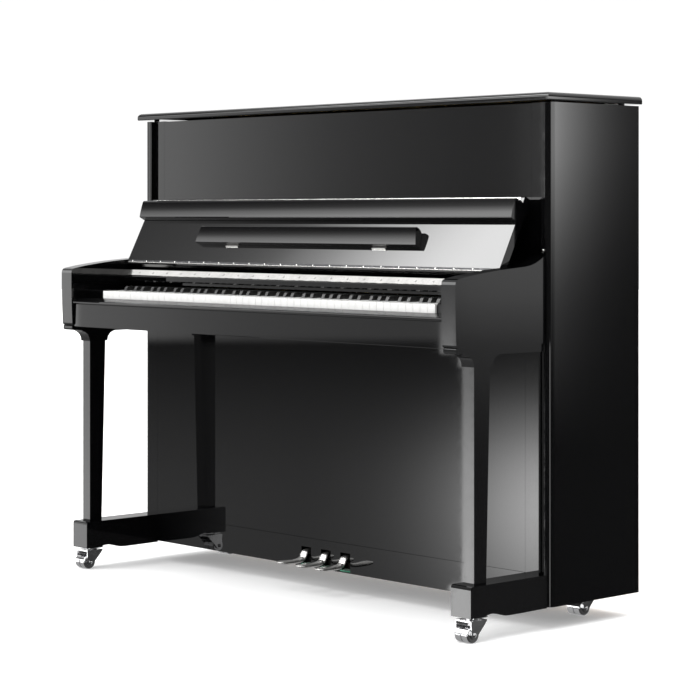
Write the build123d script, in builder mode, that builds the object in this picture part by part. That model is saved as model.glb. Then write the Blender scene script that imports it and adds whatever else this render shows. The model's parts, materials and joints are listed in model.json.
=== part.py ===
from build123d import *
import math
import os

os.makedirs("parts", exist_ok=True)

# Upright piano. Millimetres, +Z up, floor at Z 0, X = 0 on the centre of the
# keyboard with the treble side at +X, player's side at -Y, wall side at +Y.

# ---------------------------------------------------------------- dimensions
HEIGHT = 1208.0          # top of the lid
LID_HALF = 751.0         # half width over the lid
LID_FRONT = -28.0
LID_BACK = 296.3
LID_Z = 1190.0

CASE_HALF = 741.0        # half width over the side panels
SIDE_T = 27.0
SIDE_FRONT = -11.0
SIDE_BACK = 296.0
SIDE_LOW = 53.0
SIDE_TOP = 1186.5
INNER = CASE_HALF - SIDE_T   # 714

STILE_UP_IN = 672.0
STILE_LOW_IN = 673.5
LOW_FACE = -20.0         # face of the lower panel, its stiles and the bottom rail

UPPER_FACE = 2.5
UPPER_LOW, UPPER_TOP = 815.0, 1185.5
LOWER_LOW, LOWER_TOP = 126.4, 640.0
RAIL_LOW, RAIL_TOP = 54.0, 125.6
BOARD_LOW, BOARD_TOP = 56.0, 74.0

ARM_IN, ARM_OUT = 682.3, 725.4
ARM_FRONT = -298.0
ARM_LOW = 644.7
CORBEL_IN, CORBEL_OUT = 684.6, 723.0
LEG_IN, LEG_OUT = 688.4, 719.1
TOE_IN, TOE_OUT = 671.0, 731.3
TOE_FRONT = -256.5
TOE_TOP = 125.4

PITCH = 1225.0 / 52      # white key spacing
KEY_FRONT = -246.6
KEY_TOP = 735.0
SHARP_TOP = 746.5
SHARP_FRONT = -196.0
KEY_VISIBLE_BACK = -96.0
KEY_STICK_BACK = 139.0
KEY_LOW = 706.0
KEY_PIVOT_Y, KEY_PIVOT_Z = -21.0, 705.0

FB_PY, FB_PZ = -99.0, 808.0     # fallboard pivot pins
FB_ANGLE = math.radians(62.6)   # board direction when it stands open
FB_IN, FB_OUT = 14.6, -5.6      # inner and outer face, from the pivot axis
FB_LOW, FB_HIGH = -12.0, 180.7
FB_HALF = 681.3
PIN_R = 2.5

PEDAL_X = (-73.0, 0.0, 71.0)
PEDAL_PIVOT_Y, PEDAL_PIVOT_Z = 80.0, 90.0
PEDAL_TIP = -110.0

CASTER_FRONT = (702.0, -221.0)
CASTER_REAR = (642.0, 214.0)
WHEEL_R = 18.5
TRAIL = 18.0             # wheel axle in front of the swivel axis
AXLE_R = 3.0


def sn(s, n):
    """A point of the open fallboard: s along it from its pivot, n out of its inner face. Returns (Y, Z)."""
    c, d = math.cos(FB_ANGLE), math.sin(FB_ANGLE)
    return (FB_PY + s * c - n * d, FB_PZ + s * d + n * c)


def block(x0, x1, y0, y1, z0, z1, mode=Mode.ADD):
    with Locations(((x0 + x1) / 2, (y0 + y1) / 2, (z0 + z1) / 2)):
        Box(x1 - x0, y1 - y0, z1 - z0, mode=mode)


def yz_prism(x0, x1, pts, mode=Mode.ADD):
    with BuildSketch(Plane.YZ.offset(x0), mode=Mode.PRIVATE) as face:
        with BuildLine():
            Polyline(*pts, close=True)
        make_face()
    extrude(face.sketch, amount=x1 - x0, mode=mode)


def bowed_prism(x0, x1, pts, mid, mode=Mode.ADD):
    """An outline straight through pts, closed from the last to the first by an arc through mid."""
    with BuildSketch(Plane.YZ.offset(x0), mode=Mode.PRIVATE) as face:
        with BuildLine():
            Polyline(*pts)
            ThreePointArc(pts[-1], mid, pts[0])
        make_face()
    extrude(face.sketch, amount=x1 - x0, mode=mode)


def xz_prism(y0, y1, pts, mode=Mode.ADD):
    # the XZ plane looks towards -Y, so the sketch starts at the back
    with BuildSketch(Plane.XZ.offset(-y1), mode=Mode.PRIVATE) as face:
        with BuildLine():
            Polyline(*pts, close=True)
        make_face()
    extrude(face.sketch, amount=y1 - y0, mode=mode)


def x_rod(x0, x1, y, z, r, mode=Mode.ADD):
    with BuildSketch(Plane.YZ.offset(x0), mode=Mode.PRIVATE) as face:
        with Locations((y, z)):
            Circle(r)
    extrude(face.sketch, amount=x1 - x0, mode=mode)


def z_rod(x, y, z0, z1, r, mode=Mode.ADD):
    with Locations((x, y, (z0 + z1) / 2)):
        Cylinder(r, z1 - z0, mode=mode)


def save(part, label):
    part.label = label
    export_step(part, f"parts/{label}.step")


# ------------------------------------------------------------------ the case
def side_panel(s):
    x0, x1 = sorted((s * INNER, s * CASE_HALF))
    block(x0, x1, SIDE_FRONT, SIDE_BACK, SIDE_LOW, SIDE_TOP)
    p = BuildPart._get_context()
    front = [e for e in p.edges().filter_by(Axis.Z) if e.center().Y < SIDE_FRONT + 1]
    fillet([e for e in front if abs(e.center().X) > CASE_HALF - 1], radius=16.0)
    fillet([e for e in p.edges().filter_by(Axis.Z)
            if e.center().Y < SIDE_FRONT + 1 and abs(e.center().X) < INNER + 1], radius=2.5)


with BuildPart() as side_panel_right:
    side_panel(1)
save(side_panel_right.part, "side_panel_right")

with BuildPart() as side_panel_left:
    side_panel(-1)
save(side_panel_left.part, "side_panel_left")

# front stiles: above the keyboard set back between the sides, below it standing proud
with BuildPart() as stiles:
    for s in (-1, 1):
        x0, x1 = sorted((s * STILE_UP_IN, s * (INNER - 0.1)))
        block(x0, x1, UPPER_FACE, 16.0, 813.0, SIDE_TOP)
        x0, x1 = sorted((s * STILE_LOW_IN, s * (INNER - 0.1)))
        block(x0, x1, LOW_FACE, 4.8, RAIL_LOW, 640.0)
save(stiles.part, "stiles")

# the lid: a flat slab with a rounded top edge in front and at both ends
with BuildPart() as top_lid:
    block(-LID_HALF, LID_HALF, LID_FRONT, LID_BACK, LID_Z, HEIGHT)
    top = [
        e
        for e in top_lid.edges()
        if abs(e.center().Z - HEIGHT) < 0.1 and e.center().Y < LID_BACK - 1
    ]
    fillet(top, radius=10.5)
    low = [
        e
        for e in top_lid.edges()
        if abs(e.center().Z - LID_Z) < 0.1 and e.center().Y < LID_BACK - 1
    ]
    fillet(low, radius=2.5)
save(top_lid.part, "top_lid")

with BuildPart() as lid_buttons:
    for x, y in ((-727.5, 20), (727.5, 20), (-727.5, 250), (727.5, 250)):
        z_rod(x, y, SIDE_TOP, LID_Z - 0.05, 7.0)
save(lid_buttons.part, "lid_buttons")

# long hinge along the back edge of the lid
with BuildPart() as lid_hinge:
    x_rod(-690, 690, LID_BACK + 0.1, 1188.2, 1.6)
    block(-690, 690, 270.0, LID_BACK + 0.1, SIDE_TOP + 0.05, 1187.6)
save(lid_hinge.part, "lid_hinge")

with BuildPart() as upper_panel:
    block(-671.6, 671.6, UPPER_FACE, 16.0, UPPER_LOW, UPPER_TOP)
save(upper_panel.part, "upper_panel")

with BuildPart() as lower_panel:
    block(-673.0, 673.0, LOW_FACE, -2.0, LOWER_LOW, LOWER_TOP)
save(lower_panel.part, "lower_panel")

# bottom rail with the three pedal slots
with BuildPart() as bottom_rail:
    block(-673.0, 673.0, LOW_FACE, 4.8, RAIL_LOW, RAIL_TOP)
    for x in PEDAL_X:
        block(x - 15.0, x + 21.0, LOW_FACE - 1, 6.0, 57.0, 103.0, mode=Mode.SUBTRACT)
save(bottom_rail.part, "bottom_rail")

with BuildPart() as bottom_board:
    block(-713.5, 713.5, 5.0, 235.0, BOARD_LOW, BOARD_TOP)
save(bottom_board.part, "bottom_board")

with BuildPart() as pedal_felts:
    for x in PEDAL_X:
        block(x - 14.6, x + 20.6, LOW_FACE - 0.5, 3.0, 57.1, 60.1)
save(pedal_felts.part, "pedal_felts")

# ------------------------------------------------- arms, legs, toes, key bed
ARM_PROFILE = [
    (SIDE_FRONT - 0.1, ARM_LOW), (-291.0, ARM_LOW), (-293.5, 646.0), (-295.0, 650.0),
    (-297.0, 700.0), (ARM_FRONT, 745.0), (ARM_FRONT, 781.5), (-296.8, 787.5),
    (-293.0, 791.8), (-287.0, 794.0), (-253.0, 800.0), (-207.0, 806.0),
    (-161.0, 811.0), (-120.0, 814.2), (-77.0, 817.4), (-58.0, 820.3),
    (-42.0, 825.4), (-28.0, 831.8), (-17.5, 837.8), (SIDE_FRONT - 0.1, 842.0),
]


def arm(s):
    x0, x1 = sorted((s * ARM_IN, s * ARM_OUT))
    yz_prism(x0, x1, ARM_PROFILE)
    # blind bore for the end pin of the fallboard
    a, b = sorted((s * (ARM_IN - 1), s * (ARM_IN + 8.4)))
    x_rod(a, b, FB_PY, FB_PZ, PIN_R + 0.06, mode=Mode.SUBTRACT)


with BuildPart() as arm_right:
    arm(1)
save(arm_right.part, "arm_right")

with BuildPart() as arm_left:
    arm(-1)
save(arm_left.part, "arm_left")


def cove(y0, z0, y1, z1, steps=7):
    """Quarter hollow from (y0, z0), which it leaves level, to (y1, z1), which it meets upright."""
    out = []
    for k in range(steps + 1):
        a = math.pi / 2 * k / steps
        out.append((y0 + (y1 - y0) * math.sin(a), z0 + (z1 - z0) * (1 - math.cos(a))))
    return out


def leg(s):
    # corbel under the arm
    x0, x1 = sorted((s * CORBEL_IN, s * CORBEL_OUT))
    top = ARM_LOW - 0.1
    front = cove(-277.0, 631.0, -237.5, 603.5)
    rear = cove(-150.0, 626.6, -178.5, 602.5)
    pts = [(LOW_FACE - 0.1, top), (-291.0, top), (-294.0, 641.5), (-294.5, 636.0), (-292.0, 632.2), (-287.0, 631.0)]
    pts += front + [(-236.5, 600.5), (-180.0, 600.5)] + rear[::-1]
    pts += [(LOW_FACE - 0.1, 626.0)]
    yz_prism(x0, x1, pts)
    # closing block beside the proud stile
    a, b = sorted((s * (INNER + 0.2), s * CORBEL_OUT))
    block(a, b, LOW_FACE - 0.2, SIDE_FRONT - 0.1, 626.0, top)
    # tapered leg
    x0, x1 = sorted((s * LEG_IN, s * LEG_OUT))
    yz_prism(x0, x1, [(-233.6, 600.4), (-233.6, TOE_TOP + 0.1), (-195.3, TOE_TOP + 0.1), (-183.0, 600.4)])


with BuildPart() as leg_right:
    leg(1)
save(leg_right.part, "leg_right")

with BuildPart() as leg_left:
    leg(-1)
save(leg_left.part, "leg_left")

TOE_PROFILE = [
    (LOW_FACE - 0.1, TOE_TOP), (-250.5, TOE_TOP), (-254.0, 124.3), (-256.0, 121.8),
    (TOE_FRONT, 118.0), (TOE_FRONT, 56.0), (-213.0, 56.0), (-206.0, 58.2),
    (-197.0, 60.2), (-186.0, 60.2), (-173.0, 58.0), (-160.0, 54.0), (-148.0, 51.2), (-133.0, 50.3),
    (-90.0, 50.4), (-50.0, 50.8), (LOW_FACE - 0.1, 51.0),
]


def toe(s):
    x0, x1 = sorted((s * TOE_IN, s * TOE_OUT))
    yz_prism(x0, x1, TOE_PROFILE)
    a, b = sorted((s * (INNER + 0.2), s * TOE_OUT))
    block(a, b, LOW_FACE - 0.2, SIDE_FRONT - 0.1, 51.0, TOE_TOP)


with BuildPart() as toe_right:
    toe(1)
save(toe_right.part, "toe_right")

with BuildPart() as toe_left:
    toe(-1)
save(toe_left.part, "toe_left")

with BuildPart() as key_bed:
    block(-682.0, 682.0, -261.8, LOW_FACE, 645.0, 680.0)
    block(-672.0, 672.0, LOW_FACE, 150.0, 645.0, 680.0)
save(key_bed.part, "key_bed")

# key slip with its overhanging nosing
with BuildPart() as key_slip:
    yz_prism(
        -682.0, 682.0,
        [(-262.0, 641.0), (-288.5, 641.0), (-289.5, 642.0), (-289.5, 699.6),
         (-293.0, 701.0), (-294.8, 703.2), (-294.6, 705.8), (-292.4, 707.8),
         (-288.0, 709.2), (-257.0, 716.0), (-253.0, 715.4), (-252.2, 712.5), (-252.2, 694.0),
         (-262.0, 694.0)],
    )
save(key_slip.part, "key_slip")

with BuildPart() as key_blocks:
    for s in (-1, 1):
        x0, x1 = sorted((s * 613.6, s * 681.8))
        yz_prism(
            x0, x1,
            [(-100.0, 680.2), (-242.0, 680.2), (-242.0, 733.0), (-240.4, 736.6), (-236.8, 738.0), (-100.0, 738.0)],
        )
save(key_blocks.part, "key_blocks")

# front, balance and back rails that carry the keys
with BuildPart() as key_frame:
    block(-612.0, 612.0, -236.0, -206.0, 680.1, 696.0)
    yz_prism(-612.0, 612.0, [(-38.0, 680.1), (-4.0, 680.1), (-4.0, 698.0), (-14.0, 702.0), (-28.0, 702.0), (-38.0, 698.0)])
    x_rod(-612.0, 612.0, KEY_PIVOT_Y, KEY_PIVOT_Z, 2.9)
    block(-612.0, 612.0, 106.0, 138.0, 680.1, 705.0)
save(key_frame.part, "key_frame")

# rail behind the keys, below the fallboard
with BuildPart() as hinge_rail:
    yz_prism(
        -682.0, 682.0,
        [(-137.5, 757.2), (-139.6, 758.2), (-140.6, 760.6), (-140.6, 770.3),
         (-137.5, 773.6), (-123.2, 786.4), (-76.0, 786.4), (-70.0, 811.5),
         (-20.0, 811.5), (-20.0, 761.0), (-104.0, 761.0), (-104.0, 749.6), (-112.0, 749.6), (-112.0, 757.2)],
    )
save(hinge_rail.part, "hinge_rail")

STRIP = Plane(origin=(0, -131.2, 781.35), x_dir=(1, 0, 0), z_dir=(0, -0.6667, 0.7453))
with BuildPart() as hinge_strip:
    with BuildSketch(STRIP.offset(-0.1)):
        with Locations(*[(-607.0 + k * 57.81, 0) for k in range(22)]):
            Circle(2.7)
    extrude(amount=0.9)
    yz_prism(
        -681.5, 681.5,
        [(-138.6, 773.4), (-137.4, 773.8), (-123.1, 786.6), (-82.0, 786.6), (-82.0, 787.8),
         (-123.8, 787.8), (-138.9, 774.6)],
    )
save(hinge_strip.part, "hinge_strip")

# small domed stops on the front edges of the sides
with BuildPart() as side_studs:
    for s in (-1, 1):
        with Locations(Location((s * 721.4, SIDE_FRONT - 0.05, 852.0), (90, 0, 0))):
            Cylinder(4.2, 4.5, align=(Align.CENTER, Align.CENTER, Align.MIN))
    fillet([e for e in side_studs.edges() if e.center().Y < SIDE_FRONT - 2], radius=1.8)
save(side_studs.part, "side_studs")

# ---------------------------------------------------------- the fallboard set
with BuildPart() as fallboard:
    yz_prism(
        -FB_HALF, FB_HALF,
        [sn(FB_LOW + 2.5, FB_OUT), sn(FB_HIGH - 4.0, FB_OUT), sn(FB_HIGH - 1.2, FB_OUT + 1.2),
         sn(FB_HIGH, FB_OUT + 4.0), sn(FB_HIGH, FB_IN - 4.0), sn(FB_HIGH - 1.2, FB_IN - 1.2),
         sn(FB_HIGH - 4.0, FB_IN), sn(FB_LOW + 2.5, FB_IN), sn(FB_LOW, FB_IN - 2.5), sn(FB_LOW, FB_OUT + 2.5)],
    )
save(fallboard.part, "fallboard")

LIP_S, LIP_N = 166.9, 16.5
with BuildPart() as fallboard_lip:
    bowed_prism(
        -FB_HALF, FB_HALF,
        [sn(157.0, 42.0), sn(160.4, 41.6), sn(163.2, 39.6), sn(165.0, 36.4), sn(165.3, 33.0),
         sn(165.3, 17.6), sn(163.6, 15.0), sn(118.5, 15.0), sn(117.0, 16.5), sn(117.0, 32.2), sn(118.4, 34.0)],
        sn(137.54, 38.78),
    )
save(fallboard_lip.part, "fallboard_lip")

DESK_S, DESK_N = 43.2, 16.6
with BuildPart() as music_desk:
    FBP = Plane(origin=(0, FB_PY, FB_PZ), x_dir=(1, 0, 0), z_dir=(0, -math.sin(FB_ANGLE), math.cos(FB_ANGLE)))
    with BuildSketch(FBP.offset(15.2)):
        with BuildLine():
            Polyline((-406, 46.4), (406, 46.4), (395, 91), (-395, 91), close=True)
        make_face()
    extrude(amount=26.0)
    bowed_prism(
        -410.0, 410.0,
        [sn(87.6, 38.4), sn(89.4, 37.6), sn(90.4, 35.6), sn(90.4, 29.0), sn(89.0, 23.0), sn(85.6, 18.4),
         sn(81.0, 15.3), sn(46.5, 15.3), sn(46.5, 30.0), sn(47.3, 30.8)],
        sn(67.3, 35.4), mode=Mode.INTERSECT,
    )
save(music_desk.part, "music_desk")

# metal fittings of the fallboard: end pins, the long hinge of the lip and the two desk hinges
with BuildPart() as fallboard_fittings:
    for s in (-1, 1):
        a, b = sorted((s * (FB_HALF + 0.05), s * (FB_HALF + 8.6)))
        x_rod(a, b, FB_PY, FB_PZ, PIN_R)
    x_rod(-670.0, 670.0, *sn(LIP_S, LIP_N), 1.2)
    yz_prism(-670.0, 670.0, [sn(LIP_S - 0.3, 14.7), sn(177.0, 14.7), sn(177.0, 15.5), sn(LIP_S - 0.3, 15.5)])
    for x in (-271, 271):
        x_rod(x - 23, x + 23, *sn(DESK_S - 0.6, DESK_N), 1.6)
        yz_prism(x - 23, x + 23, [sn(39.0, 14.7), sn(46.2, 14.7), sn(46.2, 15.2), sn(39.0, 15.2)])
save(fallboard_fittings.part, "fallboard_fittings")

# ------------------------------------------------------------------- the keys
NAMES = ["c", "c_sharp", "d", "d_sharp", "e", "f", "f_sharp", "g", "g_sharp", "a", "a_sharp", "b"]
BLACK_SHIFT = {1: -2.6, 3: 2.6, 6: -3.6, 8: 0.0, 10: 3.6}
white_at, black_at = {}, {}
count = 0
for m in range(21, 109):
    if m % 12 in BLACK_SHIFT:
        black_at[m] = -612.5 + count * PITCH + BLACK_SHIFT[m % 12]
    else:
        white_at[m] = -612.5 + count * PITCH
        count += 1


def white_key(m):
    x = white_at[m]
    x0, x1 = x + 0.5, x + PITCH - 0.5
    t0 = black_at[m - 1] + 5.9 if m - 1 in black_at else x0
    t1 = black_at[m + 1] - 5.9 if m + 1 in black_at else x1
    block(x0, x1, KEY_FRONT, SHARP_FRONT - 2.3, 713.0, KEY_TOP)
    block(t0, t1, SHARP_FRONT - 2.5, KEY_VISIBLE_BACK, 713.0, KEY_TOP)
    block(t0 + 0.3, t1 - 0.3, -240.0, KEY_STICK_BACK, KEY_LOW, 728.0)


def black_key(m):
    x = black_at[m]
    block(x - 4.7, x + 4.7, -194.0, KEY_STICK_BACK, KEY_LOW, 728.0)
    yz_prism(
        x - 4.9, x + 4.9,
        [(SHARP_FRONT, 727.0), (SHARP_FRONT, 735.5), (SHARP_FRONT + 5.2, 744.8),
         (SHARP_FRONT + 8.0, SHARP_TOP), (-100.0, SHARP_TOP), (-100.0, 727.0)],
    )


def balance_groove():
    # each stick rocks on the bead of the balance rail
    x_rod(-615.0, 615.0, KEY_PIVOT_Y, KEY_PIVOT_Z, 3.0, mode=Mode.SUBTRACT)


with BuildPart() as keys_c:
    for m in range(24, 109, 12):
        white_key(m)
    balance_groove()
save(keys_c.part, "keys_c")

with BuildPart() as keys_c_sharp:
    for m in range(25, 109, 12):
        black_key(m)
    balance_groove()
save(keys_c_sharp.part, "keys_c_sharp")

with BuildPart() as keys_d:
    for m in range(26, 109, 12):
        white_key(m)
    balance_groove()
save(keys_d.part, "keys_d")

with BuildPart() as keys_d_sharp:
    for m in range(27, 109, 12):
        black_key(m)
    balance_groove()
save(keys_d_sharp.part, "keys_d_sharp")

with BuildPart() as keys_e:
    for m in range(28, 109, 12):
        white_key(m)
    balance_groove()
save(keys_e.part, "keys_e")

with BuildPart() as keys_f:
    for m in range(29, 109, 12):
        white_key(m)
    balance_groove()
save(keys_f.part, "keys_f")

with BuildPart() as keys_f_sharp:
    for m in range(30, 109, 12):
        black_key(m)
    balance_groove()
save(keys_f_sharp.part, "keys_f_sharp")

with BuildPart() as keys_g:
    for m in range(31, 109, 12):
        white_key(m)
    balance_groove()
save(keys_g.part, "keys_g")

with BuildPart() as keys_g_sharp:
    for m in range(32, 109, 12):
        black_key(m)
    balance_groove()
save(keys_g_sharp.part, "keys_g_sharp")

with BuildPart() as keys_a:
    for m in range(21, 109, 12):
        white_key(m)
    balance_groove()
save(keys_a.part, "keys_a")

with BuildPart() as keys_a_sharp:
    for m in range(22, 109, 12):
        black_key(m)
    balance_groove()
save(keys_a_sharp.part, "keys_a_sharp")

with BuildPart() as keys_b:
    for m in range(23, 109, 12):
        white_key(m)
    balance_groove()
save(keys_b.part, "keys_b")

# ------------------------------------------------------------------ the pedals
PEDAL_SIDE = [
    (130.0, 97.0), (-16.0, 97.0), (-23.0, 96.6), (-26.5, 94.5), (-28.5, 90.0), (-31.0, 84.5),
    (-35.5, 79.8), (-42.0, 76.8), (-52.0, 74.8), (-66.0, 73.8), (-84.0, 74.2), (-98.0, 75.4),
    (-106.0, 75.6), (-109.4, 74.0), (PEDAL_TIP, 71.6), (-108.2, 69.0), (-100.0, 66.4),
    (-84.0, 64.6), (-62.0, 63.8), (-42.0, 64.2), (-30.0, 65.6), (-25.0, 68.0), (-22.6, 73.0),
    (-21.6, 80.0), (-19.0, 84.0), (130.0, 84.0),
]
PEDAL_PLAN = [
    (131.0, 10.0), (-18.0, 10.0), (-20.6, 12.4), (-30.0, 12.6), (-40.0, 12.0), (-52.0, 11.4),
    (-64.0, 11.8), (-76.0, 14.0), (-86.0, 16.2), (-95.0, 17.0), (-102.0, 15.6), (-107.0, 12.0),
    (-110.2, 6.0), (-111.0, 0.0),
]


def pedal(x):
    yz_prism(x - 18.0, x + 18.0, PEDAL_SIDE)
    outline = [(x + w, y) for y, w in PEDAL_PLAN] + [(x - w, y) for y, w in PEDAL_PLAN[-2::-1]]
    with BuildSketch(Plane.XY.offset(50.0), mode=Mode.PRIVATE) as plan:
        with BuildLine():
            Polyline(*outline, close=True)
        make_face()
    extrude(plan.sketch, amount=60.0, mode=Mode.INTERSECT)
    x_rod(x - 20.0, x + 20.0, PEDAL_PIVOT_Y, PEDAL_PIVOT_Z, 4.05, mode=Mode.SUBTRACT)


with BuildPart() as pedal_left:
    pedal(PEDAL_X[0])
save(pedal_left.part, "pedal_left")

with BuildPart() as pedal_middle:
    pedal(PEDAL_X[1])
save(pedal_middle.part, "pedal_middle")

with BuildPart() as pedal_right:
    pedal(PEDAL_X[2])
save(pedal_right.part, "pedal_right")

# bearing brackets behind the bottom rail, with the pedal pins through them
with BuildPart() as trapwork:
    for x in PEDAL_X:
        block(x - 17.0, x + 17.0, 66.0, 94.0, BOARD_TOP + 0.1, 78.0)
        block(x - 17.0, x - 11.5, 70.0, 90.0, BOARD_TOP + 0.1, 98.0)
        block(x + 11.5, x + 17.0, 70.0, 90.0, BOARD_TOP + 0.1, 98.0)
        x_rod(x - 17.0, x + 17.0, PEDAL_PIVOT_Y, PEDAL_PIVOT_Z, 4.0)
    # upright dowels from the pedals to the action
    for x in (-600.0, -570.0, 600.0):
        block(x - 12.0, x + 12.0, 100.0, 140.0, BOARD_TOP + 0.1, 90.5)
        z_rod(x, 120.0, 90.0, 644.8, 6.0)
save(trapwork.part, "trapwork")

# ----------------------------------------------------------------- the casters


def caster_plate(x, y):
    block(x - 25.0, x + 25.0, y - 22.0, y + 22.0, 53.6, 55.9)
    z_rod(x, y, 49.6, 53.7, 17.0)
    z_rod(x, y, 44.0, 50.0, 4.0)


def caster_fork(x, y):
    ay = y - TRAIL
    block(x - 24.5, x + 24.5, y - 28.5, y + 21.0, 46.0, 49.2)
    cheek = [
        (ay - 10.5, 47.0), (ay - 10.0, 19.5), (ay - 7.6, 13.2), (ay - 3.2, 9.8), (ay + 2.4, 9.6),
        (ay + 7.6, 12.6), (ay + 16.0, 22.5), (ay + 30.0, 36.5), (ay + 39.0, 47.0),
    ]
    for s in (-1, 1):
        a, b = sorted((x + s * 21.7, x + s * 24.5))
        yz_prism(a, b, cheek)
    z_rod(x, y, 45.0, 50.0, 4.06, mode=Mode.SUBTRACT)
    x_rod(x - 26.0, x + 26.0, ay, WHEEL_R, AXLE_R)


def caster_wheel(x, y):
    ay = y - TRAIL
    for s in (-1, 1):
        a, b = sorted((x + s * 1.6, x + s * 20.6))
        x_rod(a, b, ay, WHEEL_R, WHEEL_R)
    x_rod(x - 2.0, x + 2.0, ay, WHEEL_R, 15.5)
    p = BuildPart._get_context()
    rims = [
        e
        for e in p.edges().filter_by(GeomType.CIRCLE)
        if abs(e.radius - WHEEL_R) < 0.01 and abs(abs(e.center().X - x) - 20.6) < 0.1
    ]
    fillet(rims, radius=3.0)
    x_rod(x - 22.0, x + 22.0, ay, WHEEL_R, AXLE_R + 0.06, mode=Mode.SUBTRACT)


with BuildPart() as caster_plates:
    for s in (-1, 1):
        caster_plate(s * CASTER_FRONT[0], CASTER_FRONT[1])
        caster_plate(s * CASTER_REAR[0], CASTER_REAR[1])
save(caster_plates.part, "caster_plates")

with BuildPart() as caster_fork_front_left:
    caster_fork(-CASTER_FRONT[0], CASTER_FRONT[1])
save(caster_fork_front_left.part, "caster_fork_front_left")

with BuildPart() as caster_fork_front_right:
    caster_fork(CASTER_FRONT[0], CASTER_FRONT[1])
save(caster_fork_front_right.part, "caster_fork_front_right")

with BuildPart() as caster_fork_rear_left:
    caster_fork(-CASTER_REAR[0], CASTER_REAR[1])
save(caster_fork_rear_left.part, "caster_fork_rear_left")

with BuildPart() as caster_fork_rear_right:
    caster_fork(CASTER_REAR[0], CASTER_REAR[1])
save(caster_fork_rear_right.part, "caster_fork_rear_right")

with BuildPart() as caster_wheel_front_left:
    caster_wheel(-CASTER_FRONT[0], CASTER_FRONT[1])
save(caster_wheel_front_left.part, "caster_wheel_front_left")

with BuildPart() as caster_wheel_front_right:
    caster_wheel(CASTER_FRONT[0], CASTER_FRONT[1])
save(caster_wheel_front_right.part, "caster_wheel_front_right")

with BuildPart() as caster_wheel_rear_left:
    caster_wheel(-CASTER_REAR[0], CASTER_REAR[1])
save(caster_wheel_rear_left.part, "caster_wheel_rear_left")

with BuildPart() as caster_wheel_rear_right:
    caster_wheel(CASTER_REAR[0], CASTER_REAR[1])
save(caster_wheel_rear_right.part, "caster_wheel_rear_right")

# ---------------------------------------- wall side: posts, soundboard, plate
POST_Y0, POST_Y1 = 244.0, 294.0
with BuildPart() as back_frame:
    block(-713.5, 713.5, POST_Y0, POST_Y1, 1010.0, 1186.0)
    block(-713.5, 713.5, POST_Y0, POST_Y1, 58.0, 190.0)
    for x in (-668.0, -334.0, 0.0, 334.0, 668.0):
        block(x - 38.0, x + 38.0, POST_Y0, POST_Y1, 190.2, 1009.8)
save(back_frame.part, "back_frame")

# soundboard with its two bridges in front and diagonal ribs behind
with BuildPart() as soundboard:
    for k in range(-7, 8):
        with Locations(Location((k * 122.0, 236.6, 545.0), (0, 38, 0))):
            Box(24.0, 14.0, 1600.0)
    block(-700.0, 700.0, 229.0, 243.8, 84.0, 1000.0, mode=Mode.INTERSECT)
    block(-705.0, 705.0, 222.0, 230.0, 80.0, 1005.0)
    xz_prism(209.2, 222.5, [(-420.0, 300.0), (-380.0, 280.0), (0.0, 420.0), (330.0, 640.0), (640.0, 930.0), (615.0, 950.0), (300.0, 672.0), (-20.0, 455.0)])
    xz_prism(209.2, 222.5, [(80.0, 200.0), (420.0, 330.0), (408.0, 360.0), (68.0, 230.0)])
save(soundboard.part, "soundboard")

with BuildPart() as pin_block:
    block(-705.0, 705.0, 209.0, 243.8, 1010.2, 1180.0)
save(pin_block.part, "pin_block")

# cast plate with its windows and braces
with BuildPart() as iron_plate:
    block(-700.0, 700.0, 196.0, 208.8, 82.0, 1176.0)
    for x0, x1 in ((-655.0, -405.0), (-370.0, -100.0), (-65.0, 195.0), (230.0, 440.0), (475.0, 655.0)):
        block(x0, x1, 190.0, 215.0, 250.0, 960.0, mode=Mode.SUBTRACT)
save(iron_plate.part, "iron_plate")

# wires and tuning pins
with BuildPart() as strings:
    for k in range(60):
        x = -330.0 + k * 16.4
        with Locations(Location((x + 18.0, 189.0, 640.0), (0, -3.0, 0))):
            Box(1.2, 1.2, 860.0 - k * 4.0)
    for k in range(28):
        x = -430.0 + k * 12.5
        with Locations(Location((x + 200.0, 184.0, 640.0), (0, -32.0, 0))):
            Box(2.2, 2.2, 1010.0)
    for k in range(88):
        x = -660.0 + k * 15.15
        z = 1060.0 + (k % 4) * 26.0
        with Locations(Location((x, 183.0, z), (90, 0, 0))):
            Cylinder(3.4, 25.8)
save(strings.part, "strings")

# the action: brackets, rails and hammers
with BuildPart() as action:
    for x in (-640.0, -220.0, 200.0, 640.0):
        block(x - 4.0, x + 4.0, 60.0, 150.0, 742.0, 985.0)
        block(x - 8.0, x + 8.0, 142.0, 149.8, 680.2, 745.0)
    block(-644.0, 644.0, 92.0, 112.0, 800.0, 822.0)
    block(-644.0, 644.0, 64.0, 78.0, 930.0, 952.0)
    for k in range(88):
        x = -628.0 + k * 14.28
        if min(abs(x - b) for b in (-220.0, 200.0)) < 10.0:
            x += 11.0 if k % 2 else -11.0
        block(x - 2.2, x + 2.2, 122.0, 127.0, 824.0, 992.0)
        block(x - 3.8, x + 3.8, 116.0, 158.0, 975.0, 998.0)
    block(-634.0, 634.0, 114.0, 130.0, 822.2, 832.0)
save(action.part, "action")
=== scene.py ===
import json
import math

import bmesh
import bpy
from mathutils import Matrix, Vector

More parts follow.
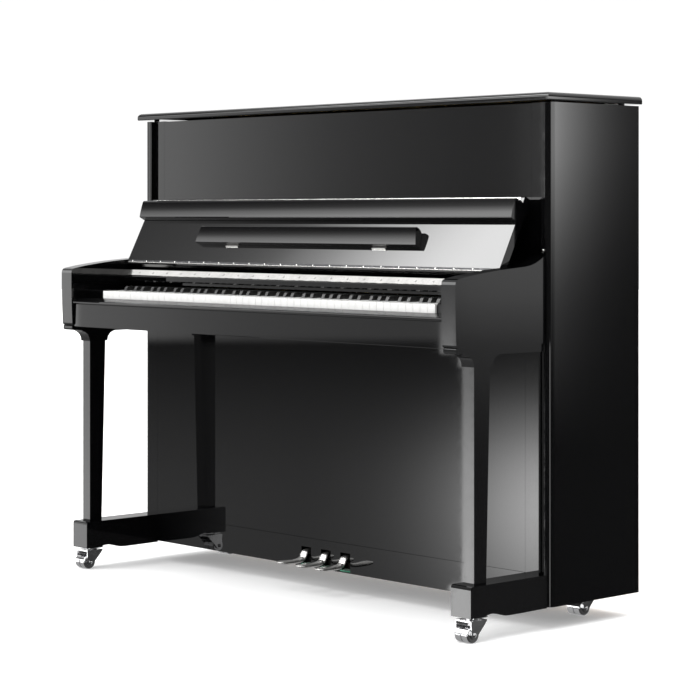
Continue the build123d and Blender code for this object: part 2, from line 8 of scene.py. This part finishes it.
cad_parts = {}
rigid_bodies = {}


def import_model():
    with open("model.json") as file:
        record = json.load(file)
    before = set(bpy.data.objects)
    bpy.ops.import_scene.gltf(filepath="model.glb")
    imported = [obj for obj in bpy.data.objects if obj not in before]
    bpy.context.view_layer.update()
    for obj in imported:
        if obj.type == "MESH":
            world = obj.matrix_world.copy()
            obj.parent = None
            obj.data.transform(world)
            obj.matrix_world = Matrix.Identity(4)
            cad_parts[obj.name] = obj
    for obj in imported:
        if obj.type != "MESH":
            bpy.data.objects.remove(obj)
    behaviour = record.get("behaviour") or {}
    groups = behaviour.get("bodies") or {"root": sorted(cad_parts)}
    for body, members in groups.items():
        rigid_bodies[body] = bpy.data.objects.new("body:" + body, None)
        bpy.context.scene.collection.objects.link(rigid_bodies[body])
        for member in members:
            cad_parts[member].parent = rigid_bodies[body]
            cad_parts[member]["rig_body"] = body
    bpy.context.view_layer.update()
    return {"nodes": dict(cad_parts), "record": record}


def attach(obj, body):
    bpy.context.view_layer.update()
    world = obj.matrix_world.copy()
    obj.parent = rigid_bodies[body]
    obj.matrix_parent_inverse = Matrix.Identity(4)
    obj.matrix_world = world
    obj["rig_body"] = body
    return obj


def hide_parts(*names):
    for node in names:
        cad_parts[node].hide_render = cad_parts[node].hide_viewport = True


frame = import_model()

N = frame["nodes"]
col = bpy.context.scene.collection


# ------------------------------------------------------------------ helpers
def new_mat(name):
    m = bpy.data.materials.new(name)
    m.use_nodes = True
    nt = m.node_tree
    nt.nodes.clear()
    out = nt.nodes.new("ShaderNodeOutputMaterial")
    bsdf = nt.nodes.new("ShaderNodeBsdfPrincipled")
    nt.links.new(bsdf.outputs[0], out.inputs[0])
    return m, nt, bsdf


def tex_obj(nt, scale=(1, 1, 1)):
    tc = nt.nodes.new("ShaderNodeTexCoord")
    mp = nt.nodes.new("ShaderNodeMapping")
    mp.inputs["Scale"].default_value = scale
    nt.links.new(tc.outputs["Object"], mp.inputs["Vector"])
    return mp.outputs[0]


def noise(nt, vec, scale, detail=3.0, rough=0.5):
    n = nt.nodes.new("ShaderNodeTexNoise")
    n.inputs["Scale"].default_value = scale
    n.inputs["Detail"].default_value = detail
    n.inputs["Roughness"].default_value = rough
    nt.links.new(vec, n.inputs["Vector"])
    return n.outputs["Fac"]


def remap(nt, val, a, b, c, d):
    r = nt.nodes.new("ShaderNodeMapRange")
    r.inputs["From Min"].default_value = a
    r.inputs["From Max"].default_value = b
    r.inputs["To Min"].default_value = c
    r.inputs["To Max"].default_value = d
    nt.links.new(val, r.inputs["Value"])
    return r.outputs[0]


def ramp(nt, val, stops):
    r = nt.nodes.new("ShaderNodeValToRGB")
    el = r.color_ramp.elements
    while len(el) < len(stops):
        el.new(0.5)
    for e, (p, c) in zip(el, stops):
        e.position = p
        e.color = (*c, 1)
    nt.links.new(val, r.inputs[0])
    return r.outputs[0]


def bump(nt, bsdf, height, strength, distance=0.001):
    b = nt.nodes.new("ShaderNodeBump")
    b.inputs["Strength"].default_value = strength
    b.inputs["Distance"].default_value = distance
    nt.links.new(height, b.inputs["Height"])
    nt.links.new(b.outputs[0], bsdf.inputs["Normal"])
    return b


# ---------------------------------------------------------------- materials
def polyester():
    m, nt, b = new_mat("black_polyester")
    v = tex_obj(nt)
    b.inputs["Base Color"].default_value = (0.0016, 0.0016, 0.0018, 1)
    b.inputs["IOR"].default_value = 1.56
    dust = noise(nt, v, 55.0, 6.0, 0.65)
    nt.links.new(remap(nt, dust, 0.35, 0.75, 0.012, 0.032), b.inputs["Roughness"])
    wave = noise(nt, v, 3.5, 2.0)
    bump(nt, b, wave, 0.10, 0.00025)
    return m


def facing(nt, axis, a, b):
    """0 to 1 as the surface turns along an axis of the object."""
    g = nt.nodes.new("ShaderNodeNewGeometry")
    sep = nt.nodes.new("ShaderNodeSeparateXYZ")
    nt.links.new(g.outputs["Normal"], sep.inputs[0])
    return remap(nt, sep.outputs[axis], a, b, 0.0, 1.0)


def polyester_arm():
    """The same lacquer, rubbed flat on the front of the arm."""
    m = polyester()
    m.name = "black_polyester_arm"
    nt = m.node_tree
    b = next(n for n in nt.nodes if n.type == "BSDF_PRINCIPLED")
    old = b.inputs["Normal"].links[0].from_socket
    mx = nt.nodes.new("ShaderNodeMix")
    mx.data_type = "VECTOR"
    nt.links.new(facing(nt, "Y", -0.985, -0.992), mx.inputs[0])
    nt.links.new(old, mx.inputs[4])
    mx.inputs[5].default_value = (0.0, -1.0, 0.0)
    nt.links.new(mx.outputs[1], b.inputs["Normal"])
    return m


def lacquer_slip_dull_shaded_top():
    """The same lacquer on the key slip, rougher on the upper side from wear of the hands, with its reflection
    turned down there as painted shade on the top.
    """
    m = polyester()
    m.name = "black_lacquer_slip_dull_shaded_top"
    nt = m.node_tree
    b = next(n for n in nt.nodes if n.type == "BSDF_PRINCIPLED")
    up = facing(nt, "Z", 0.75, 0.95)
    # the weaker reflection on faces turned up is painted shade; the rougher top is wear
    nt.links.new(remap(nt, up, 0.0, 1.0, 0.5, 0.16), b.inputs["Specular IOR Level"])
    nt.links.new(remap(nt, up, 0.0, 1.0, 0.02, 0.22), b.inputs["Roughness"])
    return m


def metal(name, color, rough0, rough1, scale=90.0, bump_s=0.05):
    m, nt, b = new_mat(name)
    v = tex_obj(nt)
    b.inputs["Metallic"].default_value = 1.0
    n = noise(nt, v, scale, 4.0)
    nt.links.new(remap(nt, n, 0.3, 0.7, rough0, rough1), b.inputs["Roughness"])
    c2 = tuple(0.82 * x for x in color)
    nt.links.new(ramp(nt, noise(nt, v, 18.0, 2.0), [(0.35, color), (0.75, c2)]), b.inputs["Base Color"])
    bump(nt, b, noise(nt, v, 260.0, 2.0), bump_s, 0.0004)
    return m


def wood(name, c0, c1, axis_scale=(30, 30, 2.2), rough=(0.45, 0.6), fine=220.0):
    m, nt, b = new_mat(name)
    v = tex_obj(nt, axis_scale)
    g = noise(nt, v, 2.0, 8.0, 0.62)
    nt.links.new(ramp(nt, g, [(0.3, c0), (0.52, tuple((x + y) / 2 for x, y in zip(c0, c1))), (0.72, c1)]), b.inputs["Base Color"])
    nt.links.new(remap(nt, g, 0.3, 0.7, rough[0], rough[1]), b.inputs["Roughness"])
    bump(nt, b, g, 0.2, 0.0006)
    return m


def felt(name, color):
    m, nt, b = new_mat(name)
    v = tex_obj(nt)
    n = noise(nt, v, 900.0, 4.0, 0.7)
    c2 = tuple(min(1, 1.7 * x) for x in color)
    nt.links.new(ramp(nt, n, [(0.3, color), (0.7, c2)]), b.inputs["Base Color"])
    b.inputs["Roughness"].default_value = 0.95
    b.inputs["Sheen Weight"].default_value = 0.5
    bump(nt, b, n, 0.8, 0.0008)
    return m


def key_plastic(name, color, rough, stick):
    """Key tops of moulded plastic over a wooden stick: the wood shows below the top plate."""
    m, nt, b = new_mat(name)
    tc = nt.nodes.new("ShaderNodeTexCoord")
    sep = nt.nodes.new("ShaderNodeSeparateXYZ")
    nt.links.new(tc.outputs["Object"], sep.inputs[0])
    v = tc.outputs["Object"]
    n = noise(nt, v, 240.0, 3.0)
    c2 = tuple(0.965 * x for x in color)
    top = ramp(nt, n, [(0.35, color), (0.7, c2)])
    mp = nt.nodes.new("ShaderNodeMapping")
    mp.inputs["Scale"].default_value = (60, 4, 60)
    nt.links.new(v, mp.inputs["Vector"])
    g = ramp(nt, noise(nt, mp.outputs[0], 3.0, 6.0), [(0.3, (0.62, 0.44, 0.25)), (0.7, (0.74, 0.56, 0.35))])
    mask = remap(nt, sep.outputs["Z"], stick - 0.0004, stick + 0.0004, 0.0, 1.0)
    mask_y = remap(nt, sep.outputs["Y"], -0.0945, -0.0955, 0.0, 1.0)
    mul = nt.nodes.new("ShaderNodeMath")
    mul.operation = "MULTIPLY"
    nt.links.new(mask, mul.inputs[0])
    nt.links.new(mask_y, mul.inputs[1])
    mix = nt.nodes.new("ShaderNodeMix")
    mix.data_type = "RGBA"
    nt.links.new(mul.outputs[0], mix.inputs[0])
    nt.links.new(g, mix.inputs[6])
    nt.links.new(top, mix.inputs[7])
    nt.links.new(mix.outputs[2], b.inputs["Base Color"])
    nt.links.new(remap(nt, mul.outputs[0], 0.0, 1.0, 0.55, rough), b.inputs["Roughness"])
    b.inputs["IOR"].default_value = 1.49
    bump(nt, b, n, 0.03, 0.0003)
    return m


M = {}
M["poly"] = polyester()
M["poly_arm"] = polyester_arm()
M["poly_slip"] = lacquer_slip_dull_shaded_top()
M["hinge"] = metal("hinge_leaf", (0.060, 0.060, 0.062), 0.22, 0.40, 60.0, 0.2)
M["nickel"] = metal("nickel_plate", (0.78, 0.77, 0.75), 0.10, 0.20)
M["pedal"] = metal("pedal_metal", (0.90, 0.89, 0.87), 0.26, 0.36, 70.0)
M["chrome"] = metal("caster_chrome", (0.85, 0.85, 0.86), 0.05, 0.14, 70.0)
M["raw"] = wood("raw_wood", (0.30, 0.17, 0.075), (0.46, 0.29, 0.14), (2.2, 30, 30))
M["raw_v"] = wood("post_wood", (0.33, 0.20, 0.09), (0.50, 0.33, 0.17), (30, 30, 2.2))
M["spruce"] = wood("soundboard_spruce", (0.45, 0.27, 0.11), (0.62, 0.42, 0.20), (30, 30, 3.0), (0.3, 0.4))
# near-black board colour: painted shade standing in for the dark inside and underside of the case
M["stained"] = wood("stained_board", (0.012, 0.011, 0.010), (0.030, 0.027, 0.024), (2.2, 30, 30), (0.5, 0.65))
M["felt_green"] = felt("pedal_felt", (0.012, 0.16, 0.085))
M["rubber"], nt, b = new_mat("black_rubber")
b.inputs["Roughness"].default_value = 0.7
nt.links.new(ramp(nt, noise(nt, tex_obj(nt), 300.0), [(0.3, (0.015, 0.015, 0.015)), (0.7, (0.03, 0.03, 0.03))]), b.inputs["Base Color"])
M["white"] = key_plastic("white_key", (0.90, 0.898, 0.885), 0.14, 0.7128)
M["black"] = key_plastic("black_key", (0.010, 0.010, 0.010), 0.26, 0.7268)
M["gold"] = metal("bronze_plate", (0.60, 0.42, 0.16), 0.35, 0.5, 60.0, 0.3)
M["wire"] = metal("string_steel", (0.55, 0.50, 0.43), 0.2, 0.35, 60.0)
M["action"] = wood("action_wood", (0.42, 0.27, 0.13), (0.60, 0.43, 0.24), (30, 30, 3.0))

SLOT = {
    "black_polyester": "poly", "raw_wood": "raw", "spruce": "spruce", "nickel_plate": "nickel",
    "pedal_metal": "pedal", "caster_chrome": "chrome", "felt": "felt_green", "rubber_buttons": "rubber",
    "white_keys": "white", "black_keys": "black", "gold_plate": "gold", "string_steel": "wire",
    "action_wood": "action",
}
node_slot = {s["node"]: s["material_slot"] for s in frame["record"]["subparts"]}
for name, o in N.items():
    m = M[SLOT[node_slot[name]]]
    o.data.materials.clear()
    o.data.materials.append(m)
# bottom board, trapwork, key frame and key bed get the near-black board colour as painted shade
for name in ("bottom_board", "trapwork", "key_frame", "key_bed"):
    N[name].data.materials[0] = M["stained"]
for name in ("arm_left", "arm_right"):
    N[name].data.materials[0] = M["poly_arm"]
# key slip: lacquer with painted shade on its upper side
N["key_slip"].data.materials[0] = M["poly_slip"]

# ------------------------------------------------------------------- bevels
BEVEL = {
    "side_panel_left": 0.0012, "side_panel_right": 0.0012, "top_lid": 0.0015, "stiles": 0.0012,
    "upper_panel": 0.0010, "lower_panel": 0.0010, "bottom_rail": 0.0010, "arm_left": 0.0022,
    "arm_right": 0.0022, "leg_left": 0.0012, "leg_right": 0.0012, "toe_left": 0.0025, "toe_right": 0.0025,
    "key_slip": 0.0010, "key_blocks": 0.0012, "hinge_rail": 0.0010, "fallboard": 0.0010,
    "fallboard_lip": 0.0012, "music_desk": 0.0008,
}
for name, o in N.items():
    w = BEVEL.get(name)
    if name.startswith("keys_"):
        w = 0.0007
    if name.startswith("caster_"):
        w = 0.0005
    if w:
        md = o.modifiers.new("bevel", "BEVEL")
        md.width = w
        md.segments = 3
        md.limit_method = "ANGLE"
        md.angle_limit = math.radians(30)
        md.harden_normals = True

# ------------------------------------------------------------- mesh pieces
def mesh_piece(name, verts, faces, mat, body, smooth=True):
    me = bpy.data.meshes.new(name)
    me.from_pydata([tuple(c) for c in verts], [], faces)
    bm = bmesh.new()
    bm.from_mesh(me)
    bmesh.ops.remove_doubles(bm, verts=bm.verts, dist=1e-7)
    bmesh.ops.recalc_face_normals(bm, faces=bm.faces)
    if smooth:
        for f in bm.faces:
            f.smooth = True
        for e in bm.edges:
            if len(e.link_faces) == 2 and e.calc_face_angle(0) > math.radians(38):
                e.smooth = False
    bm.to_mesh(me)
    bm.free()
    me.materials.append(mat)
    o = bpy.data.objects.new(name, me)
    col.objects.link(o)
    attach(o, body)
    return o


def rings_to_mesh(rings, caps=True):
    """Closed skin over a row of rings with equal point counts."""
    n = len(rings[0])
    verts = [c for r in rings for c in r]
    faces = []
    for a in range(len(rings) - 1):
        for k in range(n):
            k2 = (k + 1) % n
            faces.append((a * n + k, a * n + k2, (a + 1) * n + k2, (a + 1) * n + k))
    if caps:
        faces.append(tuple(range(n)))
        faces.append(tuple(range((len(rings) - 1) * n, len(rings) * n)))
    return verts, faces


def lathe(origin, axis, profile, seg=40):
    """Rings round an axis through origin; profile rows are (distance along the axis, radius)."""
    a = Vector(axis).normalized()
    u = a.orthogonal().normalized()
    w_ = a.cross(u)
    rings = []
    for t, r in profile:
        rings.append([Vector(origin) + a * t + (u * math.cos(2 * math.pi * k / seg) + w_ * math.sin(2 * math.pi * k / seg)) * max(r, 1e-5) for k in range(seg)])
    return rings_to_mesh(rings)


def catmull(rows, steps=5):
    out = []
    n = len(rows)
    for i in range(n - 1):
        p0, p1, p2, p3 = rows[max(i - 1, 0)], rows[i], rows[i + 1], rows[min(i + 2, n - 1)]
        for k in range(steps):
            t = k / steps
            out.append([0.5 * (2 * b + (c - a) * t + (2 * a - 5 * b + 4 * c - d) * t * t + (3 * b - a - 3 * c + d) * t ** 3)
                        for a, b, c, d in zip(p0, p1, p2, p3)])
    out.append(list(rows[-1]))
    return out


# the pedals: cast levers with a swan neck and a rounded paddle; rows are (Y, Z, half width, half thickness) in mm
PEDAL_ROWS = [
    (129.5, 90.5, 9.6, 6.2), (60, 90.5, 9.8, 6.3), (0, 90.5, 9.8, 6.3), (-13, 90.4, 10.2, 6.3), (-20.5, 88.6, 11.6, 6.0),
    (-25.0, 84.0, 12.4, 5.0), (-28.0, 78.4, 12.3, 4.5), (-33.5, 73.4, 11.9, 4.5), (-43, 70.6, 11.4, 5.0),
    (-56, 69.3, 11.2, 4.9), (-66, 69.1, 12.2, 4.9), (-76, 69.4, 14.3, 4.9), (-86, 69.9, 16.3, 4.7),
    (-95, 70.6, 17.0, 4.4), (-101.5, 71.1, 15.7, 3.8), (-106.5, 71.4, 12.2, 3.0), (-109.3, 71.6, 6.8, 1.8), (-110.0, 71.6, 1.0, 0.4),
]
for tag, px in (("left", -73.0), ("middle", 0.0), ("right", 71.0)):
    rows = catmull(PEDAL_ROWS, 6)
    rings = []
    for i, (y, z, hw, ht) in enumerate(rows):
        a, b_ = rows[max(i - 1, 0)], rows[min(i + 1, len(rows) - 1)]
        t = Vector((0, b_[0] - a[0], b_[1] - a[1])).normalized()
        up = Vector((0, -t.z, t.y))
        if up.z < 0:
            up = -up
        for g in (-26.6, -29.6):          # two fine grooves across the neck
            ht -= 0.55 * math.exp(-((y - g) / 0.7) ** 2)
        ring = []
        for k in range(36):
            q = 2 * math.pi * k / 36
            e = 2 / 2.9
            cx = math.copysign(abs(math.cos(q)) ** e, math.cos(q))
            cz = math.copysign(abs(math.sin(q)) ** e, math.sin(q))
            ring.append((Vector((px + cx * hw, y, z)) + up * (cz * ht)) / 1000)
        rings.append(ring)
    vs, fs = rings_to_mesh(rings)
    node = "pedal_" + tag
    o = mesh_piece("pedal_lever_" + tag, vs, fs, M["pedal"], N[node]["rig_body"])
    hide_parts(node)

# the long hinge along the lower edge of the fallboard: leaf, knuckles and countersunk screws
FBA = math.radians(62.6)


def sn(s_, n_):
    return (-99.0 + s_ * math.cos(FBA) - n_ * math.sin(FBA), 808.0 + s_ * math.sin(FBA) + n_ * math.cos(FBA))


fb_body = N["fallboard"]["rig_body"]
vs, fs = [], []


def add(vf):
    base_ = len(vs)
    vs.extend(vf[0])
    fs.extend([tuple(i + base_ for i in f) for f in vf[1]])


leaf = [sn(-10.6, 14.65), sn(-10.6, 15.2), sn(-2.2, 15.2), sn(-1.6, 14.65)]
add(rings_to_mesh([[Vector((x, y, z)) / 1000 for y, z in leaf] for x in (-676.0, 676.0)]))
leaf_faces = len(fs)
ky, kz = sn(-8.6, 16.0)
nk = 90
for k in range(nk):
    x0 = -675.0 + k * 1350.0 / nk
    x1 = x0 + 1350.0 / nk - 1.1
    add(lathe((x0 / 1000, ky / 1000, kz / 1000), (1, 0, 0), [(0, 0.0001), (0.0, 0.00115), (0.0003, 0.0014), ((x1 - x0) / 1000 - 0.0003, 0.0014), ((x1 - x0) / 1000, 0.00115), ((x1 - x0) / 1000, 0.0001)], 12))
for k in range(23):
    x = -660.0 + k * 60.0
    y, z = sn(-4.6, 15.15)
    add(lathe((x / 1000, y / 1000, z / 1000), (0, -math.sin(FBA), math.cos(FBA)), [(0, 0.0001), (0, 0.0021), (0.0003, 0.0019), (0.0006, 0.0009), (0.00045, 0.0001)], 16))
o = mesh_piece("fallboard_long_hinge", vs, fs, M["nickel"], fb_body)
o.data.materials.append(M["hinge"])
for face in o.data.polygons:
    if face.index < leaf_faces:
        face.material_index = 1

# casters: ball race under the plate and domed axle heads
for tag, cx, cy in (("front_left", -702, -221), ("front_right", 702, -221), ("rear_left", -642, 214), ("rear_right", 642, 214)):
    vs, fs = [], []
    add(lathe((cx / 1000, cy / 1000, 0.0492), (0, 0, 1), [(0, 0.0001), (0, 0.0165), (0.0004, 0.0170), (0.0010, 0.0166), (0.0013, 0.0150), (0.0013, 0.0001)], 40))
    for sgn in (-1, 1):
        add(lathe(((cx + sgn * 24.5) / 1000, (cy - 18) / 1000, 0.0185), (sgn, 0, 0), [(0, 0.0001), (0, 0.0052), (0.0006, 0.0051), (0.0013, 0.0040), (0.0017, 0.0020), (0.0018, 0.0001)], 28))
    o = mesh_piece("caster_race_" + tag, vs, fs, M["chrome"], N["caster_fork_" + tag]["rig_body"])

# ------------------------------------------------------------ stage and light
cam_data = bpy.data.cameras.new("camera")
cam = bpy.data.objects.new("camera", cam_data)
col.objects.link(cam)
cam.location = (4.0989, -3.7344, 0.9301)
cam.rotation_euler = (math.radians(90), 0, math.radians(47.1745))
cam_data.sensor_width = 36.0
cam_data.lens = 114.74
cam_data.shift_y = -133.88 / 700
cam_data.clip_end = 200
bpy.context.scene.camera = cam


def stage_mesh(name, verts, faces, mat):
    me = bpy.data.meshes.new(name)
    me.from_pydata(verts, [], faces)
    me.materials.append(mat)
    o = bpy.data.objects.new(name, me)
    col.objects.link(o)
    return o


# pale studio floor: lit softly from above, it does not show up as a mirror image in the lacquer
fm, nt, b = new_mat("floor")
b.inputs["Base Color"].default_value = (0.93, 0.93, 0.93, 1)
b.inputs["Roughness"].default_value = 0.9
b.inputs["Specular IOR Level"].default_value = 0.0
b.inputs["Emission Color"].default_value = (1, 1, 1, 1)
b.inputs["Emission Strength"].default_value = 0.24
floor = stage_mesh("floor", [(-24, -24, 0), (24, -24, 0), (24, 24, 0), (-24, 24, 0)], [(0, 1, 2, 3)], fm)
floor.visible_glossy = False

# white surround behind the object, seen by the camera only
dm = bpy.data.materials.new("surround")
dm.use_nodes = True
dm.node_tree.nodes.clear()
out = dm.node_tree.nodes.new("ShaderNodeOutputMaterial")
em = dm.node_tree.nodes.new("ShaderNodeEmission")
em.inputs["Strength"].default_value = 1.02
dm.node_tree.links.new(em.outputs[0], out.inputs[0])
dome_v, dome_f = [], []
NS, NR = 48, 24
for i in range(NR + 1):
    el = -math.pi / 2 + math.pi * i / NR
    for k in range(NS):
        az = 2 * math.pi * k / NS
        dome_v.append((23 * math.cos(el) * math.cos(az), 23 * math.cos(el) * math.sin(az), 23 * math.sin(el)))
for i in range(NR):
    for k in range(NS):
        a0, a1 = i * NS + k, i * NS + (k + 1) % NS
        dome_f.append((a0, a1, a1 + NS, a0 + NS))
dome = stage_mesh("surround", dome_v, dome_f, dm)
dome.visible_glossy = dome.visible_diffuse = dome.visible_shadow = dome.visible_transmission = False
dome.visible_volume_scatter = False


# the studio: softboxes around the object, written as one function of direction in the world shader
w = bpy.data.worlds.new("world")
bpy.context.scene.world = w
w.use_nodes = True
WT = w.node_tree


class S:
    """A number in the world's node tree, with the usual arithmetic."""

    def __init__(self, sock):
        self.s = sock

    @staticmethod
    def op(kind, *args, clamp=False):
        n = WT.nodes.new("ShaderNodeMath")
        n.operation = kind
        n.use_clamp = clamp
        for k, a in enumerate(args):
            if isinstance(a, S):
                WT.links.new(a.s, n.inputs[k])
            else:
                n.inputs[k].default_value = a
        return S(n.outputs[0])

    def __add__(self, o): return S.op("ADD", self, o)
    __radd__ = __add__
    def __sub__(self, o): return S.op("SUBTRACT", self, o)
    def __rsub__(self, o): return S.op("SUBTRACT", o, self)
    def __mul__(self, o): return S.op("MULTIPLY", self, o)
    __rmul__ = __mul__
    def __truediv__(self, o): return S.op("DIVIDE", self, o)


def step(x, a, b):
    """0 before a, 1 after b, smooth between."""
    r = WT.nodes.new("ShaderNodeMapRange")
    r.interpolation_type = "SMOOTHSTEP"
    WT.links.new(x.s, r.inputs["Value"])
    r.inputs["From Min"].default_value = min(a, b)
    r.inputs["From Max"].default_value = max(a, b)
    r.inputs["To Min"].default_value = 0.0 if a < b else 1.0
    r.inputs["To Max"].default_value = 1.0 if a < b else 0.0
    return S(r.outputs[0])


def curve(x, pts):
    """Smooth gradient through the points (x, value)."""
    x0, x1 = pts[0][0], pts[-1][0]
    top = max(v for _, v in pts)
    r = WT.nodes.new("ShaderNodeMapRange")
    WT.links.new(x.s, r.inputs["Value"])
    r.inputs["From Min"].default_value = x0
    r.inputs["From Max"].default_value = x1
    c = WT.nodes.new("ShaderNodeFloatCurve")
    WT.links.new(r.outputs[0], c.inputs["Value"])
    cv = c.mapping.curves[0]
    cv.points[0].location = (0.0, pts[0][1] / top)
    cv.points[1].location = (1.0, pts[-1][1] / top)
    for px, pv in pts[1:-1]:
        cv.points.new((px - x0) / (x1 - x0), pv / top)
    c.mapping.update()
    return S(c.outputs[0]) * top


def mix(a, b, t):
    return a * (1.0 - t) + b * t


tc = WT.nodes.new("ShaderNodeTexCoord")
sx = WT.nodes.new("ShaderNodeSeparateXYZ")
WT.links.new(tc.outputs["Generated"], sx.inputs[0])
wx, wy, wz = S(sx.outputs[0]), S(sx.outputs[1]), S(sx.outputs[2])
ax, ay = S.op("ABSOLUTE", wx), S.op("ABSOLUTE", wy)
# h and v: horizontal and vertical place of a direction on a wall square to the line of sight
den = S.op("MAXIMUM", 0.7334 * ax + 0.6798 * ay, 0.05)
h = 350.0 + 2231.1 * ((0.7334 * ay - 0.6798 * ax) / den)
v = 216.1 - 2231.1 * (wz / den)
az = S.op("ARCTAN2", ax, ay) * 57.29578
el = S.op("ARCSINE", wz) * 57.29578

# wall in front of the keyboard side
p_up = curve(h, [(60, 1.6), (165, 1.42), (200, 1.24), (230, 1.05), (260, 0.87), (300, 0.67), (340, 0.52), (380, 0.43), (420, 0.37), (500, 0.33), (535, 0.5), (700, 0.6)])
p_slip = curve(h, [(60, 1.06), (100, 1.0), (150, 0.88), (200, 0.70), (260, 0.58), (340, 0.53), (430, 0.52), (480, 0.62), (700, 0.8)])
front_up = mix(p_up, p_slip, step(v, 215, 285))
base = curve(v, [(335, 0.09), (345, 0.10), (375, 0.15), (410, 0.22), (450, 0.29), (490, 0.34), (560, 0.36), (700, 0.36)])
glow_h = curve(h, [(300, 0.02), (340, 0.08), (380, 0.22), (410, 0.48), (440, 1.0), (455, 1.42), (480, 2.35), (500, 3.3), (515, 3.95), (535, 4.75), (570, 5.4), (700, 4.0)])
glow_v = curve(v, [(335, 0.005), (360, 0.03), (375, 0.055), (390, 0.105), (410, 0.23), (430, 0.40), (450, 0.62), (470, 0.82), (490, 0.95), (508, 1.0), (530, 0.95), (550, 0.84), (575, 0.66), (620, 0.35), (700, 0.1)])
low = (1.04 * base + 1.24 * (glow_h * glow_v)) * step(h, 543.5, 541.5)
front = mix(1.1 * front_up, low, step(v, 334, 346))
# tall narrow strip lights to the far left and behind the right leg
left_l = curve(v, [(240, 2.2), (330, 2.3), (345, 2.2), (430, 2.4), (500, 2.75), (560, 2.8), (700, 2.6)])
edge = 78.0 + 16.0 * step(v, 326, 340)
front = mix(front, left_l, step(h - edge, 3, -3) * step(v, 232, 244))
arm_l = curve(v, [(262, 0.9), (300, 1.15), (320, 1.6), (340, 2.3), (356, 2.8), (366, 2.6)])
front = mix(front, arm_l, step(h, 438, 442) * step(h, 458, 454.5) * step(v, 266, 272) * step(v, 356, 351))
front = mix(front, arm_l, step(h, 457, 459.5) * step(h, 475.5, 473.5) * step(v, 352, 356) * step(v, 370, 364))
leg_r = curve(v, [(345, 2.2), (375, 2.4), (410, 3.1), (435, 3.8), (475, 4.9), (515, 5.4), (555, 5.8), (595, 6.2), (640, 6.2)])
front = mix(front, leg_r, step(h, 461.0, 463.2) * step(h, 476.0, 474.2) * step(v, 350, 356) * step(v, 587, 584))
front = mix(front, leg_r, step(h, 448.0, 450.0) * step(h, 474.5, 472.0) * step(v, 583, 587))
front = mix(front, front * 0.0 + 6.5, step(h, 546.0, 550.0) * step(v, 285, 268))
# wall on the side of the last treble key
side_h = curve(h, [(545, 2.6), (556, 1.78), (565, 1.36), (575, 1.0), (585, 0.73), (595, 0.50), (605, 0.345), (615, 0.24), (625, 0.165), (635, 0.12), (660, 0.06), (720, 0.05)])
side_v = curve(v, [(60, 1.02), (110, 1.0), (125, 0.99), (150, 0.91), (175, 0.76), (200, 0.60), (230, 0.415), (260, 0.27), (300, 0.145), (350, 0.07), (400, 0.025), (450, 0.0), (460, 0.0)])
side = 0.05 + 1.95 * side_h * side_v
arm_s = curve(v, [(270, 0.95), (290, 0.88), (310, 0.70), (330, 0.52), (350, 0.36), (375, 0.30), (415, 0.19), (450, 0.14), (480, 0.12), (620, 0.12)])
arm_s = mix(arm_s, 0.05 * arm_s, step(h, 300, 180))
side = mix(arm_s, side, step(h, 544, 550))

# light boxes higher up, mirrored in the sloping fallboard and in rounded edges
fb = curve(az, [(36, 1.5), (44, 4.0), (50, 9.0), (56, 11.5), (58, 11.5), (58.7, 10.8), (59.6, 8.8), (60.7, 5.6), (62, 2.4), (63.2, 0.92), (64.3, 0.60), (65.4, 0.45), (67, 0.36), (74, 0.5), (90, 0.9)])
lean = el + 0.9 * (az - 55.0)
lip = curve(lean, [(0, 4.0), (10, 4.0), (12, 3.8), (13.5, 3.1), (15, 2.3), (17, 1.55), (18.2, 1.12), (20, 0.60), (22, 0.32), (24, 0.17), (26, 0.09), (50, 0.08)])
mid = mix(lip, fb, step(el, 27.5, 29.2) * step(az, 56, 57.5))
mid = mix(mid, fb, step(el, 29, 36))
mid = mix(mid, S.op("MINIMUM", mid, 0.9), step(el, 43, 47))

is_front, is_back = step(wy, 0.02, -0.02), step(wy, -0.02, 0.02)
is_left, is_right = step(wx, 0.02, -0.02), step(wx, -0.02, 0.02)
near = step(v, -60, 40) * step(v, 760, 690)          # inside the band seen by upright faces
out_h = S.op("ABSOLUTE", h - 350.0)
inside = near * step(out_h, 560, 400)
amb = curve(el, [(-90, 0.4), (-30, 0.4), (0, 0.55), (12, 0.8), (30, 1.0), (50, 1.4), (62, 3.4), (90, 3.8)])
dim = mix(amb * 0.12, amb, step(el, 14, 34))
q_front = mix(mix(mix(amb, dim, step(h, 560, 760)), mid, step(el, 8, 12) * step(el, 62, 52)), front, inside)
turn = step(ax, 0.80, 0.94)
round_edge = 0.85 * (0.05 + 1.95 * 1.9 * side_v)
q_side = mix(mix(mix(dim, amb, step(h, 560, 900)), side, inside), round_edge, step(az, 43.5, 46.0) * near)
thin = 3.4 * (step(az, 38.5, 41.0) * step(az, 52.0, 49.0) * step(v, 338, 350) * near)
q_edge = mix(dim, round_edge, turn * near) + thin
q_back = mix(amb, S.op("MAXIMUM", amb, 1.0), 1.0 * near)
total = is_front * is_left * q_front + is_back * is_right * q_side + is_back * is_left * q_back + is_front * is_right * q_edge
bg = WT.nodes["Background"]
WT.links.new(total.s, bg.inputs["Strength"])
bg.inputs["Color"].default_value = (1, 1, 1, 1)

bpy.context.scene.view_settings.view_transform = "Standard"
